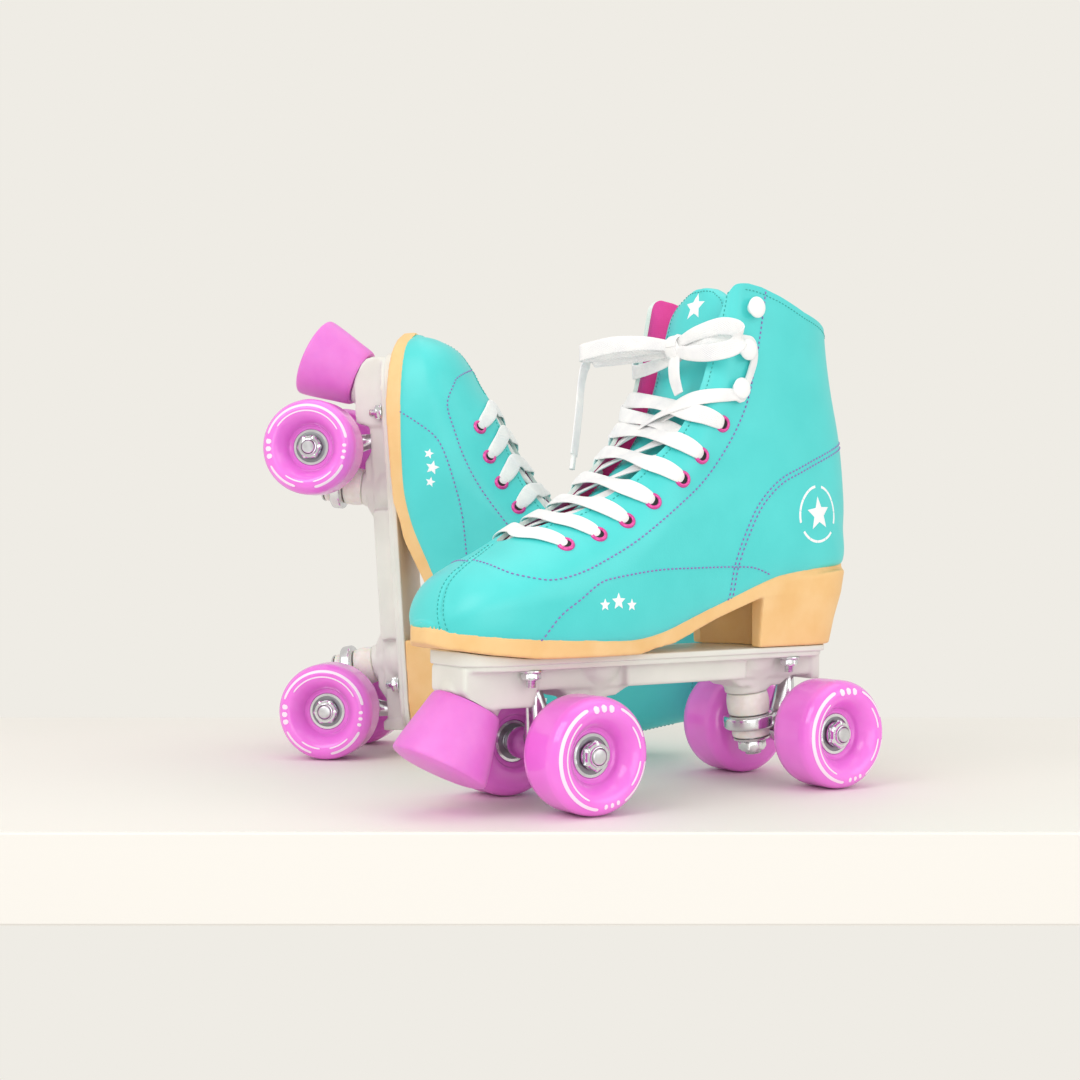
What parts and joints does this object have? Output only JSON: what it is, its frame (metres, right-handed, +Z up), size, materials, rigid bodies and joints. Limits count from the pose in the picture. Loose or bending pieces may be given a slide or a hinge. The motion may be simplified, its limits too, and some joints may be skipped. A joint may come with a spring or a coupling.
{
  "type": "quad roller skates",
  "caption": "Pair of high-top lace-up roller skates on steering trucks with wheels and a toe stop, one standing and one lying on its heel with the toe up.",
  "frame": {"origin": "on the floor under the middle of the pair's bounding box", "axes": "+Z up, -X towards the standing left skate's toe, +Y towards the right skate that lies behind it on its heel"},
  "size_m": [0.2946, 0.3628, 0.27],
  "materials": {
    "vinyl": "satin smooth turquoise synthetic leather",
    "tongue": "padded turquoise synthetic leather with a knitted back",
    "lining": "brushed pink lining cloth",
    "lace": "flat white woven lace",
    "sole": "moulded honey-tan outsole with a fine mould line",
    "plate": "satin warm grey powder coat",
    "toe_stop": "satin orchid-pink rubber",
    "urethane": "glossy orchid-pink urethane with white printed arcs",
    "chrome": "bright chrome plate",
    "steel": "turned steel",
    "bearing": "polished bearing rings and shields",
    "cushion": "off-white urethane"
  },
  "bodies": {
    "left_skate": {"left_boot_upper": "vinyl", "left_tongue": "tongue", "left_insole": "lining", "left_laces": "lace", "left_sole": "sole", "left_plate": "plate", "left_toe_stop": "toe_stop", "left_toe_stop_bolt": "chrome", "left_front_kingpin": "chrome", "left_front_upper_cushion": "cushion", "left_front_lower_cushion": "cushion", "left_rear_kingpin": "chrome", "left_rear_upper_cushion": "cushion", "left_rear_lower_cushion": "cushion"},
    "left_front_truck": {"left_front_hanger": "chrome", "left_front_axle": "steel", "left_front_outer_nut": "chrome", "left_front_inner_nut": "chrome"},
    "left_front_outer_wheel": {"left_front_outer_wheel": "urethane", "left_front_outer_bearings": "bearing"},
    "left_front_inner_wheel": {"left_front_inner_wheel": "urethane", "left_front_inner_bearings": "bearing"},
    "left_rear_truck": {"left_rear_hanger": "chrome", "left_rear_axle": "steel", "left_rear_outer_nut": "chrome", "left_rear_inner_nut": "chrome"},
    "left_rear_outer_wheel": {"left_rear_outer_wheel": "urethane", "left_rear_outer_bearings": "bearing"},
    "left_rear_inner_wheel": {"left_rear_inner_wheel": "urethane", "left_rear_inner_bearings": "bearing"},
    "right_skate": {"right_boot_upper": "vinyl", "right_tongue": "tongue", "right_insole": "lining", "right_laces": "lace", "right_sole": "sole", "right_plate": "plate", "right_toe_stop": "toe_stop", "right_toe_stop_bolt": "chrome", "right_front_kingpin": "chrome", "right_front_upper_cushion": "cushion", "right_front_lower_cushion": "cushion", "right_rear_kingpin": "chrome", "right_rear_upper_cushion": "cushion", "right_rear_lower_cushion": "cushion"},
    "right_front_truck": {"right_front_hanger": "chrome", "right_front_axle": "steel", "right_front_outer_nut": "chrome", "right_front_inner_nut": "chrome"},
    "right_front_outer_wheel": {"right_front_outer_wheel": "urethane", "right_front_outer_bearings": "bearing"},
    "right_front_inner_wheel": {"right_front_inner_wheel": "urethane", "right_front_inner_bearings": "bearing"},
    "right_rear_truck": {"right_rear_hanger": "chrome", "right_rear_axle": "steel", "right_rear_outer_nut": "chrome", "right_rear_inner_nut": "chrome"},
    "right_rear_outer_wheel": {"right_rear_outer_wheel": "urethane", "right_rear_outer_bearings": "bearing"},
    "right_rear_inner_wheel": {"right_rear_inner_wheel": "urethane", "right_rear_inner_bearings": "bearing"}
  },
  "joints": [
    {"name": "right_skate_lift", "type": "slide", "parent": "left_skate", "child": "right_skate", "axis": [0, 0, 1], "range_m": [0, 0.3]},
    {"name": "left_front_truck_steer", "type": "hinge", "parent": "left_skate", "child": "left_front_truck", "pos_m": [-0.07156, -0.12689, 0.06], "axis": [-0.7204, 0, 0.6936], "range_deg": [-8, 8], "stiffness_Nm_per_rad": 20, "deforming": ["left_front_upper_cushion", "left_front_lower_cushion"]},
    {"name": "left_front_outer_wheel_spin", "type": "hinge", "parent": "left_front_truck", "child": "left_front_outer_wheel", "pos_m": [-0.06656, -0.16539, 0.029], "axis": [0, -1, 0], "continuous": true},
    {"name": "left_front_inner_wheel_spin", "type": "hinge", "parent": "left_front_truck", "child": "left_front_inner_wheel", "pos_m": [-0.06656, -0.08839, 0.029], "axis": [0, 1, 0], "continuous": true},
    {"name": "left_rear_truck_steer", "type": "hinge", "parent": "left_skate", "child": "left_rear_truck", "pos_m": [0.09879, -0.12689, 0.06], "axis": [0.7204, 0, 0.6936], "range_deg": [-8, 8], "stiffness_Nm_per_rad": 20, "deforming": ["left_rear_upper_cushion", "left_rear_lower_cushion"]},
    {"name": "left_rear_outer_wheel_spin", "type": "hinge", "parent": "left_rear_truck", "child": "left_rear_outer_wheel", "pos_m": [0.09379, -0.16539, 0.029], "axis": [0, -1, 0], "continuous": true},
    {"name": "left_rear_inner_wheel_spin", "type": "hinge", "parent": "left_rear_truck", "child": "left_rear_inner_wheel", "pos_m": [0.09379, -0.08839, 0.029], "axis": [0, 1, 0], "continuous": true},
    {"name": "right_front_truck_steer", "type": "hinge", "parent": "right_skate", "child": "right_front_truck", "pos_m": [-0.03567, 0.10384, 0.19598], "axis": [0.477, -0.4365, 0.7628], "range_deg": [-8, 8], "stiffness_Nm_per_rad": 20, "deforming": ["right_front_upper_cushion", "right_front_lower_cushion"]},
    {"name": "right_front_outer_wheel_spin", "type": "hinge", "parent": "right_front_truck", "child": "right_front_outer_wheel", "pos_m": [-0.03227, 0.15291, 0.18903], "axis": [0.6751, 0.7377, 0], "continuous": true},
    {"name": "right_front_inner_wheel_spin", "type": "hinge", "parent": "right_front_truck", "child": "right_front_inner_wheel", "pos_m": [-0.08425, 0.09611, 0.18903], "axis": [-0.6751, -0.7377, 0], "continuous": true},
    {"name": "right_rear_truck_steer", "type": "hinge", "parent": "right_skate", "child": "right_rear_truck", "pos_m": [-0.02772, 0.09656, 0.02597], "axis": [0.5443, -0.498, -0.6751], "range_deg": [-8, 8], "stiffness_Nm_per_rad": 20, "deforming": ["right_rear_upper_cushion", "right_rear_lower_cushion"]},
    {"name": "right_rear_outer_wheel_spin", "type": "hinge", "parent": "right_rear_truck", "child": "right_rear_outer_wheel", "pos_m": [-0.02479, 0.14607, 0.029], "axis": [0.6751, 0.7377, 0], "continuous": true},
    {"name": "right_rear_inner_wheel_spin", "type": "hinge", "parent": "right_rear_truck", "child": "right_rear_inner_wheel", "pos_m": [-0.07677, 0.08926, 0.029], "axis": [-0.6751, -0.7377, 0], "continuous": true}
  ]
}
